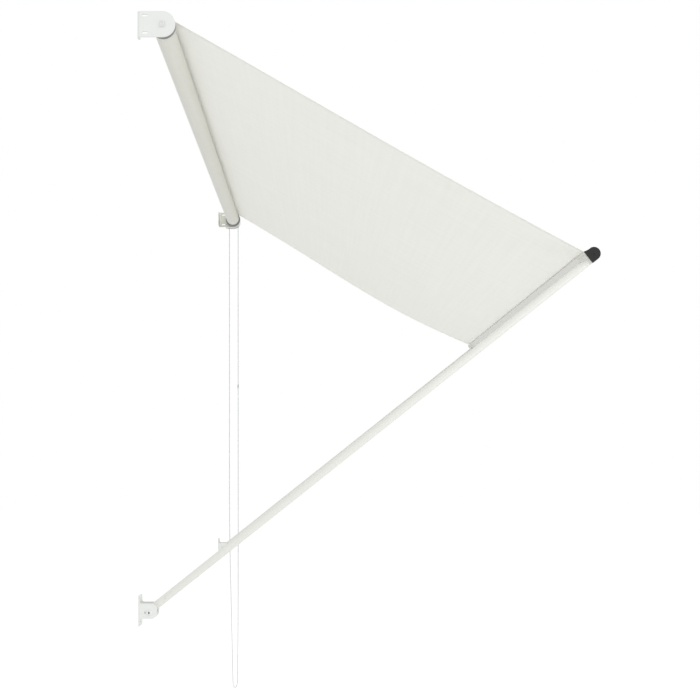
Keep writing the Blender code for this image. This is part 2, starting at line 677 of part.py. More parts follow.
def front_bar(pivot):
    low = inward("idle", BAR_INSET)
    high = inward("drive", BAR_INSET)
    middle = (ARM_REACH, BAR_RISE, -(low + high) / 2)
    bar = prism("front_bar", [bar_with_groove(), bar_hollow()], high - low)
    for end in ENDS:
        at = -inward(end, ARM_INSET + HEAD_SCREW_IN)
        hole = rod(f"{end}_bar_bore", 0.0024, -0.03, -0.01, 16)
        boolean(bar, place(hole, (ARM_REACH, BAR_RISE, at), ALONG_X, pivot))
    finish(place(bar, middle, IDENTITY, pivot), WHITE_COAT)
    half = (high - low) / 2 - 0.012
    spline = rod("bar_spline", GROOVE_RADIUS - 0.0005, -half, half, 12)
    u, v = GROOVE
    finish(place(spline, (middle[0] + u, middle[1] + v, middle[2]), IDENTITY, pivot), WHITE_PLASTIC)
    for end in ENDS:
        end_cap(end, pivot)


def end_cap(end, pivot):
    """A black cap over the bar's end, with a tongue that fills the hollow."""
    _, sign = ENDS[end]
    outer_z = -inward(end, BAR_INSET - GAP - CAP_WALL / 2)
    cap = prism(f"{end}_end_cap", [bar_outline(CAP_EDGE)], CAP_WALL)
    reach = NOSE - BAR_WALL - 0.0006
    back = -BAR_BACK + BAR_WALL + 0.0006
    tongue = [(back, HOLLOW_TOP - 0.0008), (back, -reach), *arc((0, 0), reach, -90, 38, 14)]
    tongue = prism(f"{end}_cap_tongue", [tongue], 0.014)
    depth = -inward(end, BAR_INSET + 0.0045)
    boolean(cap, place(tongue, (ARM_REACH, BAR_RISE, depth), IDENTITY, pivot), "UNION")
    turn = IDENTITY if sign > 0 else Matrix.Rotation(math.pi, 3, "X")
    outside = -inward(end, BAR_INSET - GAP - CAP_WALL)
    bore = rod(f"{end}_cap_bore", 0.0023, -0.012, 0.01, 16)
    boolean(cap, place(bore, (ARM_REACH + 0.002, BAR_RISE - 0.002, outside), turn, pivot))
    finish(place(cap, (ARM_REACH, BAR_RISE, outer_z), IDENTITY, pivot), BLACK)
    profile = [(0, 0.0013), (0.0022, 0.0012), (0.0036, 0.0003), (0.0036, 0), (0.0020, 0)]
    profile += [(0.0020, -0.0090), (0, -0.0100)]
    screw = turned(f"{end}_cap_screw", profile, 14, False)
    place(screw, (ARM_REACH + 0.002, BAR_RISE - 0.002, outside + sign * GAP), turn, pivot)
    finish(screw, BLACK)


# The cloth between the roller and the bar


def cloth_ends():
    """Where the cloth leaves the roll, where it meets the bar, and the chord between them, as (out, up)."""
    u = Vector((math.cos(ARM_TILT), math.sin(ARM_TILT)))
    v = Vector((-math.sin(ARM_TILT), math.cos(ARM_TILT)))
    height = BAR_RISE + NOSE + lip_rise_at(GROOVE[0]) + CLOTH_CLEAR
    bar = Vector((PIVOT_OUT, -PIVOT_DROP)) + u * (ARM_REACH + GROOVE[0]) + v * height
    axis = Vector((AXIS_OUT, 0))
    off = ROLL_OUTER + GAP + CLOTH_THICK / 2
    roll = axis
    for _ in range(20):
        chord = bar - roll
        fall = math.atan2(-chord.y, chord.x) + 4 * CLOTH_SAG / chord.length
        roll = axis + off * Vector((math.sin(fall), math.cos(fall)))
    return roll, bar, bar - roll


def canopy():
    """The part of the cloth that is out, a little slack, as a sheet given its thickness."""
    roll, bar, chord = cloth_ends()
    down = Vector((chord.y, -chord.x)).normalized()
    low = inward("idle", CLOTH_INSET)
    high = inward("drive", CLOTH_INSET)
    mesh = bpy.data.meshes.new("canopy_cloth")
    work = bmesh.new()
    bmesh.ops.create_grid(work, x_segments=1, y_segments=CLOTH_STEPS, size=0.5)
    for vertex in work.verts:
        share = vertex.co.y + 0.5
        x = low + (high - low) * (vertex.co.x + 0.5)
        point = roll + share * chord + 4 * CLOTH_SAG * share * (1 - share) * down
        vertex.co = (x, -point.x, point.y)
    work.to_mesh(mesh)
    work.free()
    cloth = bpy.data.objects.new("canopy_cloth", mesh)
    solid = cloth.modifiers.new("Thickness", "SOLIDIFY")
    solid.thickness = CLOTH_THICK
    solid.offset = 0
    finish(cloth, CLOTH)


def main():
    roller_axis = bpy.data.objects.new("roller_axis", None)
    arm_pivot = bpy.data.objects.new("arm_pivot", None)
    for empty in (roller_axis, arm_pivot):
        PARTS.objects.link(empty)
    place(roller_axis, (0, -AXIS_OUT, 0))
    swing = SIDE_VIEW @ Matrix.Rotation(ARM_TILT, 3, "Z")
    place(arm_pivot, (0, -PIVOT_OUT, -PIVOT_DROP), swing)
    idle_end()
    clutch()
    roller(roller_axis)
    chain_wheel(roller_axis)
    brake_spring(roller_axis)
    bead_chain()
    for end in ENDS:
        foot_bracket(end)
        pivot_bolt(end)
        arm(end, arm_pivot)
    front_bar(arm_pivot)
    canopy()


main()
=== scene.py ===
# %% [markdown]
# # A drop-arm window awning
#
# A cloth rolls off a tube on two wall brackets. A frame of two arms and a front bar swings on two lower
# brackets and holds the cloth out, and a bead chain at one end turns the tube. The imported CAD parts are
# the fixed frame of this scene: they keep their shape and place, and get their real finishes here. What
# is soft or too fine for CAD, which is the cloth, its hems and stitches and the beads, is made here.
#
# Everything is in metres and +Z is up. The wall is the plane y = 0, and the awning reaches out along -Y.

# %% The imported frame
import json
import math

import bmesh
import bpy
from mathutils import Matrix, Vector


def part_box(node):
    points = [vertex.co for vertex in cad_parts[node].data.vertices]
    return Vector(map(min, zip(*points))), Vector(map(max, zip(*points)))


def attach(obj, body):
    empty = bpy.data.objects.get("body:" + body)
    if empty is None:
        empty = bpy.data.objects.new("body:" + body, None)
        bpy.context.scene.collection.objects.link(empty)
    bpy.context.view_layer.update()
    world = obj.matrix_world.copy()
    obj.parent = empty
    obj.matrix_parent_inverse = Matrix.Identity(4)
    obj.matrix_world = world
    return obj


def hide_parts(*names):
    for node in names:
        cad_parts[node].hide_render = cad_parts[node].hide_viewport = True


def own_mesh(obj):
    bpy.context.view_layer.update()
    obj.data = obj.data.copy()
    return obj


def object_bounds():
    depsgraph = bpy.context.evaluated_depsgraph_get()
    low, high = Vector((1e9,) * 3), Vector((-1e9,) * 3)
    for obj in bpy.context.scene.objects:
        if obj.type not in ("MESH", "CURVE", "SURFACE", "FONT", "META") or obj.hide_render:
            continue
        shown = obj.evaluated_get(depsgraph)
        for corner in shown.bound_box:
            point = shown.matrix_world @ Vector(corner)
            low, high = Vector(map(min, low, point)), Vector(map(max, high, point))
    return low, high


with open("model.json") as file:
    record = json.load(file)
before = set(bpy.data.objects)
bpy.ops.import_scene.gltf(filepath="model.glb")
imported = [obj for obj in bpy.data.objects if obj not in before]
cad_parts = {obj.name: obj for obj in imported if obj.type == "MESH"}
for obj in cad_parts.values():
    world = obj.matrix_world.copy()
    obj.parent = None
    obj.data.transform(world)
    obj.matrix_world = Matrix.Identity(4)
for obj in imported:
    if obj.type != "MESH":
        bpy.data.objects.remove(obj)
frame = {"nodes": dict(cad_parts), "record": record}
cad_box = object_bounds()
print(len(frame["nodes"]), "CAD nodes, box", [[round(x, 3) for x in corner] for corner in cad_box])

MM = 0.001

# %% [markdown]
# ## Camera
#
# The awning is seen from beside its idle end, with the lens level and square to the arms, so that all
# upright lines stay upright. A level camera would cut the top off, so its sensor is shifted up instead,
# as an architect's view camera does. The other way is to tilt the camera, which would lean the lines.

# %% Camera
STAND_OFF = 1.866  # from the idle bracket's outer face
EYE_OUT = 0.4943  # from the wall
EYE_LEVEL = -1.178
SENSOR, LENS = 36.0, 35.87  # mm
SHIFT = (0.0406, 0.163)  # shares of the sensor's width
SEES_TO = 50.0

near_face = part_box("idle_wall_bracket")[0].x
camera_data = bpy.data.cameras.new("view_camera")
camera_data.sensor_width = SENSOR
camera_data.lens = LENS
camera_data.shift_x, camera_data.shift_y = SHIFT
camera_data.clip_end = SEES_TO
camera = bpy.data.objects.new("view_camera", camera_data)
camera.location = (near_face - STAND_OFF, -EYE_OUT, EYE_LEVEL)
camera.rotation_euler = (math.radians(90), 0, math.radians(-90))
bpy.context.scene.collection.objects.link(camera)
bpy.context.scene.camera = camera
print("camera at", [round(x, 3) for x in camera.location])

# %% [markdown]
# ## Helpers for materials and node trees
#
# Colours are chosen as the hex values a paint chart gives. Those are sRGB, and shaders work in linear
# light, so one function turns them. One more function adds any node, with its settings and its links,
# so that a finish or a geometry tree reads from top to bottom like a recipe.


# %% Colour and node helpers
def linear(hex_colour, alpha=1.0):
    """An sRGB hex colour as the linear colour that shaders use."""
    channels = [int(hex_colour[i : i + 2], 16) / 255 for i in (1, 3, 5)]
    turned = [c / 12.92 if c <= 0.04045 else ((c + 0.055) / 1.055) ** 2.4 for c in channels]
    return (*turned, alpha)


def add_node(tree, kind, settings=None, **inputs):
    """A node with its settings, and with each named input set to a value or linked to an output."""
    node = tree.nodes.new(kind)
    for name, value in (settings or {}).items():
        setattr(node, name, value)
    for name, value in inputs.items():
        key = int(name[1:]) if name[1:].isdigit() else name.replace("_", " ")
        socket = node.inputs[key]
        if isinstance(value, bpy.types.NodeSocket):
            tree.links.new(value, socket)
        else:
            socket.default_value = value
    return node


def new_finish(name, **shader_inputs):
    """A material with a Principled shader: (material, its node tree, the shader)."""
    material = bpy.data.materials.new(name)
    material.use_nodes = True
    tree = material.node_tree
    shader = tree.nodes["Principled BSDF"]
    for key, value in shader_inputs.items():
        shader.inputs[key.replace("_", " ")].default_value = value
    return material, tree, shader


def per_mm(size):
    """A noise scale whose features are about this many millimetres across, on coordinates in metres."""
    return 1 / (size * MM)


def clouded_finish(name, tones, cloud_mm, detail, **shader_inputs):
    """A finish whose colour drifts between two close tones, and the coordinates for its other patterns."""
    material, tree, shader = new_finish(name, **shader_inputs)
    coordinates = add_node(tree, "ShaderNodeTexCoord").outputs["Object"]
    clouds = add_node(
        tree, "ShaderNodeTexNoise", Vector=coordinates, Scale=per_mm(cloud_mm), Detail=detail
    )
    tone = add_node(
        tree, "ShaderNodeMix", {"data_type": "RGBA"}, Factor=clouds.outputs["Fac"],
        i6=linear(tones[0]), i7=linear(tones[1]),
    )
    tree.links.new(tone.outputs[2], shader.inputs["Base Color"])
    return material, tree, shader, coordinates


print("white", [round(c, 3) for c in linear("#EDEEEC")])

# %% [markdown]
# ## Bead chain
#
# An awning's operating chain is an endless cord with plastic beads moulded on it every few millimetres.
# It runs down on the wall side, turns round under its own weight and comes up in front. It could be
# modelled as a row of spheres placed by hand, but a chain is a rule: the same bead at an even pitch
# along a path. So Geometry Nodes resamples the path at that pitch and puts a bead on every point.

# %% The chain's path
CHAIN_WIDE = 4.5 * MM
BEAD_PITCH = 6.0 * MM
CHAIN_CORD = 1.5 * MM
ROUTE_STEPS = 4
CHAIN_ROUTE = [  # (out, up), down the wall side and up the front
    (0.0470, -0.0305),
    (0.0470, -0.30),
    (0.0470, -0.85),
    (0.0472, -1.40),
    (0.0508, -1.66),
    (0.0570, -1.92),
    (0.0612, -2.12),
    (0.0632, -2.20),
    (0.0640, -2.236),
    (0.0660, -2.2525),
    (0.0705, -2.2605),
    (0.0760, -2.2618),
    (0.0810, -2.2575),
    (0.0843, -2.2470),
    (0.0855, -2.2250),
    (0.0866, -2.15),
    (0.0882, -2.00),
    (0.0892, -1.70),
    (0.0892, -1.10),
    (0.0890, -0.50),
    (0.0890, -0.0305),
]


def smooth_route(route, steps):
    """Points read from a smooth curve through the route's own points."""
    padded = [route[0], *route, route[-1]]
    points = []
    for before, start, end, after in zip(padded, padded[1:], padded[2:], padded[3:]):
        before, start, end, after = (Vector(p) for p in (before, start, end, after))
        span = (end - start).length
        leave = (end - before) * span / ((start - before).length + span)
        arrive = (after - start) * span / ((after - end).length + span)
        for i in range(steps):
            t = i / steps
            point = (2 * t**3 - 3 * t**2 + 1) * start + (t**3 - 2 * t**2 + t) * leave
            points.append(point + (3 * t**2 - 2 * t**3) * end + (t**3 - t**2) * arrive)
    return points + [Vector(route[-1])]


chain_low, chain_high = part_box("chain_loop")
CHAIN_X = (chain_low.x + chain_high.x) / 2
chain_path = [Vector((CHAIN_X, -out, up)) for out, up in smooth_route(CHAIN_ROUTE, ROUTE_STEPS)]


# %% Lines, node groups and their results as plain meshes
def line_object(name, paths):
    """Open lines as one mesh of edges, for a node tree to follow."""
    mesh = bpy.data.meshes.new(name)
    points, edges = [], []
    for path in paths:
        first = len(points)
        points += [tuple(p) for p in path]
        edges += [(i, i + 1) for i in range(first, len(points) - 1)]
    mesh.from_pydata(points, edges, [])
    obj = bpy.data.objects.new(name, mesh)
    bpy.context.scene.collection.objects.link(obj)
    return obj


def new_group(name, sizes):
    """A geometry node group with a Geometry socket each way and named sizes in metres."""
    group = bpy.data.node_groups.new(name, "GeometryNodeTree")
    group.interface.new_socket("Geometry", in_out="OUTPUT", socket_type="NodeSocketGeometry")
    group.interface.new_socket("Geometry", in_out="INPUT", socket_type="NodeSocketGeometry")
    for size in sizes:
        group.interface.new_socket(size, in_out="INPUT", socket_type="NodeSocketFloat")
    return group, add_node(group, "NodeGroupInput").outputs


def as_plain_mesh(obj, modifier):
    """Makes what the modifier gives the object's own mesh, and takes the modifier off."""
    graph = bpy.context.evaluated_depsgraph_get()
    mesh = bpy.data.meshes.new_from_object(obj.evaluated_get(graph))
    obj.modifiers.remove(modifier)
    mesh.name = obj.name
    obj.data = mesh
    print(obj.name, len(mesh.polygons), "faces")
    return mesh


def made_by(obj, group, sizes):
    """Runs the group on the object, with sizes set by their sockets' identifiers."""
    modifier = obj.modifiers.new(group.name, "NODES")
    modifier.node_group = group
    sockets = {item.name: item.identifier for item in group.interface.items_tree if item.in_out == "INPUT"}
    for name, value in sizes.items():
        modifier[sockets[name]] = value
    as_plain_mesh(obj, modifier).shade_smooth()
    return obj


# %% [markdown]
# ## Chain plastic
#
# The beads are injection-moulded polyoxymethylene (POM), a dense, slightly waxy white plastic. Its
# gloss is soft, and light goes a little way in, so a bead has no hard shadow side.

# %% Chain plastic
POM_WHITE = "#CED0D0"
POM_SHADE = "#C2C4C4"

chain_plastic, *_ = clouded_finish(
    "moulded_white_pom", (POM_WHITE, POM_SHADE), 40, 2.0, Roughness=0.32, IOR=1.48,
    Subsurface_Weight=0.08, Subsurface_Scale=1.0 * MM,
)
print("made", chain_plastic.name)

# %% The bead tree
BEAD_SEGMENTS = 8
BEAD_RINGS = 6
CORD_SIDES = 6

beads, sizes_in = new_group("bead_chain", ["Bead Diameter", "Bead Pitch", "Cord Diameter"])
path = add_node(beads, "GeometryNodeMeshToCurve", Mesh=sizes_in["Geometry"])
half_bead = add_node(
    beads, "ShaderNodeMath", {"operation": "MULTIPLY"}, i0=sizes_in["Bead Diameter"], i1=0.5
)
half_cord = add_node(
    beads, "ShaderNodeMath", {"operation": "MULTIPLY"}, i0=sizes_in["Cord Diameter"], i1=0.5
)
spots = add_node(
    beads, "GeometryNodeResampleCurve", {"mode": "LENGTH"}, Curve=path.outputs["Curve"],
    Length=sizes_in["Bead Pitch"],
)
bead = add_node(
    beads, "GeometryNodeMeshUVSphere", Segments=BEAD_SEGMENTS, Rings=BEAD_RINGS,
    Radius=half_bead.outputs["Value"],
)
row = add_node(
    beads, "GeometryNodeInstanceOnPoints", Points=spots.outputs["Curve"], Instance=bead.outputs["Mesh"]
)
section = add_node(
    beads, "GeometryNodeCurvePrimitiveCircle", Resolution=CORD_SIDES, Radius=half_cord.outputs["Value"]
)
cord = add_node(
    beads, "GeometryNodeCurveToMesh", Curve=path.outputs["Curve"],
    **{"Profile Curve": section.outputs["Curve"], "Fill Caps": True},
)
both = add_node(beads, "GeometryNodeJoinGeometry", Geometry=row.outputs["Instances"])
beads.links.new(cord.outputs["Mesh"], both.inputs["Geometry"])
real = add_node(beads, "GeometryNodeRealizeInstances", Geometry=both.outputs["Geometry"])
coated = add_node(
    beads, "GeometryNodeSetMaterial", Geometry=real.outputs["Geometry"], Material=chain_plastic
)
add_node(beads, "NodeGroupOutput", Geometry=coated.outputs["Geometry"])
print("bead tree has", len(beads.nodes), "nodes")

# %% [markdown]
# The same tree makes the hanging loop and the short run over the wheel inside the housing.

# %% The hanging loop and the run over the wheel
WHEEL_PITCH = 21.0 * MM
WHEEL_STEPS = 18

wheel_low, wheel_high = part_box("chain_wheel")
wheel_out = -(wheel_low.y + wheel_high.y) / 2
chain_sizes = {"Bead Diameter": CHAIN_WIDE, "Bead Pitch": BEAD_PITCH, "Cord Diameter": CHAIN_CORD}

bead_loop = made_by(line_object("bead_loop", [chain_path]), beads, chain_sizes)
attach(bead_loop, "root")
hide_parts("chain_loop")

turn = [math.pi * (1 - i / WHEEL_STEPS) for i in range(WHEEL_STEPS + 1)]
over = [Vector((CHAIN_X, -wheel_out - WHEEL_PITCH * math.cos(a), WHEEL_PITCH * math.sin(a))) for a in turn]
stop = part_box("chain_on_wheel")[0].z + CHAIN_WIDE / 2
over = [Vector((CHAIN_X, over[0].y, stop)), *over, Vector((CHAIN_X, over[-1].y, stop))]
beads_on_wheel = made_by(line_object("beads_on_wheel", [over]), beads, chain_sizes)
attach(beads_on_wheel, "root")
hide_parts("chain_on_wheel")

# %% [markdown]
# ## Awning cloth
#
# The cloth is polyester yarn in a plain weave, coated with polyurethane to keep rain out. It is cream,
# matt, and the coating half fills the weave, so the threads show as a soft grid. The real threads are
# about 0.5 mm apart, which is finer than this picture can hold, so the grid is drawn at 1.6 mm, and
# slow streaks along the yarns, where some are thicker than others, stand for the rest. The pattern
# follows the cloth through its UV map, which is in metres along and across the piece.
#
# Daylight comes through a single layer. Less comes through a hem, which is doubled, and nearly none
# through the turns on the tube. So the one cloth has three finishes. They differ in that light, and
# their tones are painted too: the hem's tone is lighter, painted light in place of the daylight that
# it holds back, and the turns' tone is a little darker, painted shade on the roller. A single finish
# is simpler, but then the hems and the roller glow as the sheet does.

# %% Coated cloth
THREAD = 1.6  # mm, drawn about three times too coarse so that it shows
SLUB = 14.0  # mm, the width of a streak of thicker yarns
WEAVES = ("X", "Y")
STREAKS = ((1.0, 0.04, 1.0), (0.04, 1.0, 1.0))  # squeezed one way, so that the noise runs along a yarn
BANDS = 20  # a wave texture has this many bands in one unit of its scale
LIGHT_REACH = 2.5 * MM  # how far light spreads inside the coated yarn


def coated_cloth(name, colour, deeper, light_through):
    """Coated polyester: soft threads both ways, slow streaks along them, and some light through it."""
    material, tree, shader = new_finish(
        name, Roughness=0.78, IOR=1.48, Sheen_Weight=0.12, Subsurface_Weight=light_through,
        Subsurface_Radius=(1.0, 1.0, 1.0), Subsurface_Scale=LIGHT_REACH,
    )
    along = add_node(tree, "ShaderNodeUVMap", {"uv_map": "cloth_map"}).outputs["UV"]
    heights = []
    for direction in WEAVES:
        threads = add_node(
            tree, "ShaderNodeTexWave", {"bands_direction": direction, "wave_profile": "SIN"}, Vector=along,
            Scale=per_mm(THREAD) / BANDS, Distortion=0.35, **{"Detail Scale": 3.0},
        )
        heights.append(threads.outputs["Fac"])
    weave = add_node(tree, "ShaderNodeMath", {"operation": "MULTIPLY"}, i0=heights[0], i1=heights[1])
    streaks = []
    for squeeze in STREAKS:
        long = add_node(tree, "ShaderNodeMapping", Vector=along, Scale=squeeze)
        noise = add_node(
            tree, "ShaderNodeTexNoise", Vector=long.outputs["Vector"], Scale=per_mm(SLUB), Detail=4.0
        )
        streaks.append(noise.outputs["Fac"])
    slubs = add_node(tree, "ShaderNodeMath", {"operation": "ADD"}, i0=streaks[0], i1=streaks[1])
    level = add_node(
        tree, "ShaderNodeMapRange", Value=slubs.outputs["Value"], **{"From Min": 0.7, "From Max": 1.3}
    )
    streaked = add_node(
        tree, "ShaderNodeMix", {"data_type": "RGBA"}, Factor=level.outputs["Result"], i6=linear(deeper),
        i7=linear(colour),
    )
    tree.links.new(streaked.outputs[2], shader.inputs["Base Color"])
    yarn_bump = add_node(
        tree, "ShaderNodeBump", Strength=0.2, Distance=0.08 * MM, Height=weave.outputs["Value"]
    )
    slub_bump = add_node(
        tree, "ShaderNodeBump", Strength=0.12, Distance=0.1 * MM, Height=slubs.outputs["Value"],
        Normal=yarn_bump.outputs["Normal"],
    )
    tree.links.new(slub_bump.outputs["Normal"], shader.inputs["Normal"])
    return material


cloth = coated_cloth("cream_coated_polyester", "#EAEAE2", "#E6E6DD", 0.5)
# The doubled hem's lighter tone is painted light, in place of the daylight the sheet lets through.
hem_cloth_painted_lighter = coated_cloth("cream_coated_polyester_doubled_painted_light", "#F3F3EB", "#EFEFE6", 0.05)
# The wound turns' darker tone is painted shade on the roller.
wound_cloth = coated_cloth("cream_coated_polyester_wound_painted_shade", "#E8E8E0", "#E4E4DB", 0.1)
print("made", cloth.name, hem_cloth_painted_lighter.name, wound_cloth.name)

# %% [markdown]
# ## The cloth that is out
#
# Real awning cloth is pulled flat by the weight of the front bar, but never quite: it hangs a little
# between roller and bar, more at the chain end, where the tube turns under load. A simulation could
# find that, but the pull of the bar settles nearly all of it, so the sheet is built from its own rule: a
# straight fall from roller to bar, a sag that grows across the width, and faint long folds that fade
# out where the roller and the bar hold it straight. Both ends come from the CAD cloth.

# %% Where the cloth starts and ends
cloth_low, cloth_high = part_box("canopy_cloth")
roll_end = Vector((-cloth_high.y, cloth_high.z))  # (out, up)
bar_end = Vector((-cloth_low.y, cloth_low.z))
fall = bar_end - roll_end
downward = Vector((fall.y, -fall.x)).normalized()
cloth_wide = cloth_high.x - cloth_low.x
print("cloth out", round(fall.length, 3), "m long and", round(cloth_wide, 3), "m wide")

# %% The shape of the cloth
SAG_IDLE = 5 * MM
SAG_GROWTH = (37 * MM, -14 * MM)  # with the share across, and with its square
SAG_SKEW = 1.6  # puts the lowest point two thirds of the way down
FOLD_HEIGHT = 0.9 * MM
FOLD_WAVES = ((5.3, 0.4, 0.6), (8.9, 2.1, 0.35), (13.7, 4.0, 0.2))  # turns across, phase, share


def sag(share, across):
    """How far the cloth hangs under the straight line, at a share of the fall and of the width."""
    depth = SAG_IDLE + SAG_GROWTH[0] * across + SAG_GROWTH[1] * across**2
    held = math.sin(math.pi * share**SAG_SKEW)
    folds = sum(part * math.sin(math.tau * turns * across / 2 + phase + 1.2 * share)
                for turns, phase, part in FOLD_WAVES)
    return depth * held + FOLD_HEIGHT * folds * math.sin(math.pi * share)


def on_cloth(share, across, below=0.0):
    """A point on the cloth, or this far below it."""
    flat = roll_end + fall * share + downward * (sag(share, across) + below)
    return Vector((cloth_low.x + cloth_wide * across, -flat.x, flat.y))


def spread(low, high, steps):
    return [low + (high - low) * i / steps for i in range(steps + 1)]


print("the cloth hangs", round(1000 * sag(0.65, 1.0)), "mm at the chain end")

# %% Cloth with a thickness
CLOTH_THICK = 0.4 * MM
CUT_EDGE = math.radians(40)  # a cut edge of the cloth is square, not rounded


def add_grid(work, points, across, along):
    """Adds faces over rows of points, mapped by their metres across and along the cloth."""
    uv = work.loops.layers.uv.get("cloth_map") or work.loops.layers.uv.new("cloth_map")
    grid = [[work.verts.new(point) for point in row] for row in points]
    for i in range(len(along) - 1):
        for j in range(len(across) - 1):
            corners = ((i, j), (i, j + 1), (i + 1, j + 1), (i + 1, j))
            face = work.faces.new([grid[a][b] for a, b in corners])
            for loop, (a, b) in zip(face.loops, corners):
                loop[uv].uv = (across[b], along[a])


def thick_cloth(name, work, thickness, finish, body):
    """A piece of cloth on a body, from its middle surface, with faces that point outwards."""
    mesh = bpy.data.meshes.new(name)
    work.to_mesh(mesh)
    work.free()
    mesh.materials.append(finish)
    mesh.shade_smooth()
    obj = bpy.data.objects.new(name, mesh)
    bpy.context.scene.collection.objects.link(obj)
    solid = obj.modifiers.new("Thickness", "SOLIDIFY")
    solid.thickness = thickness
    solid.offset = 0
    as_plain_mesh(obj, solid).set_sharp_from_angle(angle=CUT_EDGE)
    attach(obj, body)
    return obj


def cloth_out(name, strips, finish):
    """A piece of the cloth that is out, from strips: shares of the fall and of the width, and a depth."""
    work = bmesh.new()
    for shares, acrosses, below in strips:
        points = [[on_cloth(share, across, below) for across in acrosses] for share in shares]
        add_grid(work, points, [a * cloth_wide for a in acrosses], [s * fall.length for s in shares])
    return thick_cloth(name, work, CLOTH_THICK, finish, "root")


# %% [markdown]
# Cloth under pull frays at a raw edge, so the sides are turned in and sewn, and so is the pocket that
# holds the rod in the bar's groove. Each turned edge is a second layer under the first.

# %% The sheet and its hems
SIDE_HEM = 6 * MM
BAR_HEM = 6 * MM
LAYER = 0.43 * MM  # from the middle of the sheet to the middle of its hem
IN_GROOVE = 2.5 * MM  # how far the cloth goes past the mouth of the bar's groove
DOWN_STEPS, ACROSS_STEPS = 64, 72
SIDE_HEM_STEPS, BAR_HEM_STEPS = 2, 4

past_mouth = 1 + IN_GROOVE / fall.length
side_share = SIDE_HEM / cloth_wide
bar_share = 1 - BAR_HEM / fall.length
down_steps = spread(0, past_mouth, DOWN_STEPS)
canopy = cloth_out("canopy", [(down_steps, spread(0, 1, ACROSS_STEPS), 0.0)], cloth)
inner_steps = spread(side_share, 1 - side_share, ACROSS_STEPS)
hem_strips = [
    (down_steps, spread(0, side_share, SIDE_HEM_STEPS), LAYER),
    (down_steps, spread(1 - side_share, 1, SIDE_HEM_STEPS), LAYER),
    (spread(bar_share, past_mouth, BAR_HEM_STEPS), inner_steps, LAYER),
]
hems = cloth_out("canopy_hems", hem_strips, hem_cloth_painted_lighter)

# %% [markdown]
# ### Stitches
#
# Hems are sewn with a straight lockstitch in thick polyester thread. Geometry Nodes lays one flattened
# bead per stitch along each seam line, turned to follow it, on both faces of the cloth.

# %% Sewing thread
STITCH_LONG = 2.8 * MM
STITCH_PITCH = 3.6 * MM
STITCH_WIDE = 0.5 * MM
STITCH_HIGH = 0.12 * MM
PLY = 0.6  # mm, one turn of the thread's twist
THREAD_WHITE = "#E6E6DE"
THREAD_SHADE = "#DFDFD7"

thread, tree, shader = new_finish("polyester_sewing_thread", Roughness=0.6, IOR=1.5)
coordinates = add_node(tree, "ShaderNodeTexCoord").outputs["Object"]
twist = add_node(
    tree, "ShaderNodeTexWave", {"bands_direction": "DIAGONAL"}, Vector=coordinates, Scale=per_mm(PLY) / BANDS
)
tone = add_node(
    tree, "ShaderNodeMix", {"data_type": "RGBA"}, Factor=twist.outputs["Fac"], i6=linear(THREAD_SHADE),
    i7=linear(THREAD_WHITE),
)
tree.links.new(tone.outputs[2], shader.inputs["Base Color"])

stitching, sizes_in = new_group("seam_stitches", ["Pitch", "Length", "Width", "Height"])
seam = add_node(stitching, "GeometryNodeMeshToCurve", Mesh=sizes_in["Geometry"])
spots = add_node(
    stitching, "GeometryNodeResampleCurve", {"mode": "LENGTH"}, Curve=seam.outputs["Curve"],
    Length=sizes_in["Pitch"],
)
tangent = add_node(stitching, "GeometryNodeInputTangent")
turned = add_node(
    stitching, "FunctionNodeAlignEulerToVector", {"axis": "X"}, Vector=tangent.outputs["Tangent"]
)
blob = add_node(stitching, "GeometryNodeMeshIcoSphere", Radius=0.5, Subdivisions=1)
size = add_node(
    stitching, "ShaderNodeCombineXYZ", X=sizes_in["Length"], Y=sizes_in["Width"], Z=sizes_in["Height"]
)
row = add_node(
    stitching, "GeometryNodeInstanceOnPoints", Points=spots.outputs["Curve"],
    Instance=blob.outputs["Mesh"], Rotation=turned.outputs["Rotation"], Scale=size.outputs["Vector"],
)
real = add_node(stitching, "GeometryNodeRealizeInstances", Geometry=row.outputs["Instances"])
sewn = add_node(stitching, "GeometryNodeSetMaterial", Geometry=real.outputs["Geometry"], Material=thread)
add_node(stitching, "NodeGroupOutput", Geometry=sewn.outputs["Geometry"])

# %% Seams
SEAM_IN = 2 * MM  # from a hem's inner edge
SEAM_SPAN = (0.02, 0.995)  # shares of the fall
SEAM_STEPS = 60

seams = []
for below in (-CLOTH_THICK / 2, LAYER + CLOTH_THICK / 2):
    for across in (side_share - SEAM_IN / cloth_wide, 1 - side_share + SEAM_IN / cloth_wide):
        seams.append([on_cloth(s, across, below) for s in spread(*SEAM_SPAN, SEAM_STEPS)])
    share = bar_share + SEAM_IN / fall.length
    seams.append([on_cloth(share, a, below) for a in spread(side_share, 1 - side_share, SEAM_STEPS)])
stitch_sizes = {"Pitch": STITCH_PITCH, "Length": STITCH_LONG, "Width": STITCH_WIDE, "Height": STITCH_HIGH}
stitches = made_by(line_object("hem_stitches", seams), stitching, stitch_sizes)
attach(stitches, "root")

# %% [markdown]
# ### The cloth's own meshes
#
# As the arms swing up, the roller takes the cloth in, so its straight fall gets shorter and steeper.
# Here each piece of the cloth only gets a mesh of its own, and the CAD cloth is hidden.

# %% The cloth's own meshes
for piece in (canopy, hems, stitches):
    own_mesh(piece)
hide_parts("canopy_cloth")

# %% [markdown]
# ## Cloth on the roller
#
# What stays on the tube is a flat spiral: two turns, each one cloth thickness further out. A plain tube
# would look the same from afar, but its ends would show no layers, so the spiral is drawn from its rule.

# %% The wound turns
TURNS = 2
TURN_STEPS = 60
LENGTH_STEPS = 12
TURN_PITCH = 0.35 * MM  # one turn lies this far inside the next
TURN_THICK = 0.9 * TURN_PITCH

wound_low, wound_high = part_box("wound_cloth")
wound_radius = (wound_high.z - wound_low.z) / 2
roller_y = (wound_high.y + wound_low.y) / 2
leave_at = math.atan2(roll_end.y, -roll_end.x - roller_y)
lengths = spread(wound_low.x, wound_high.x, LENGTH_STEPS)

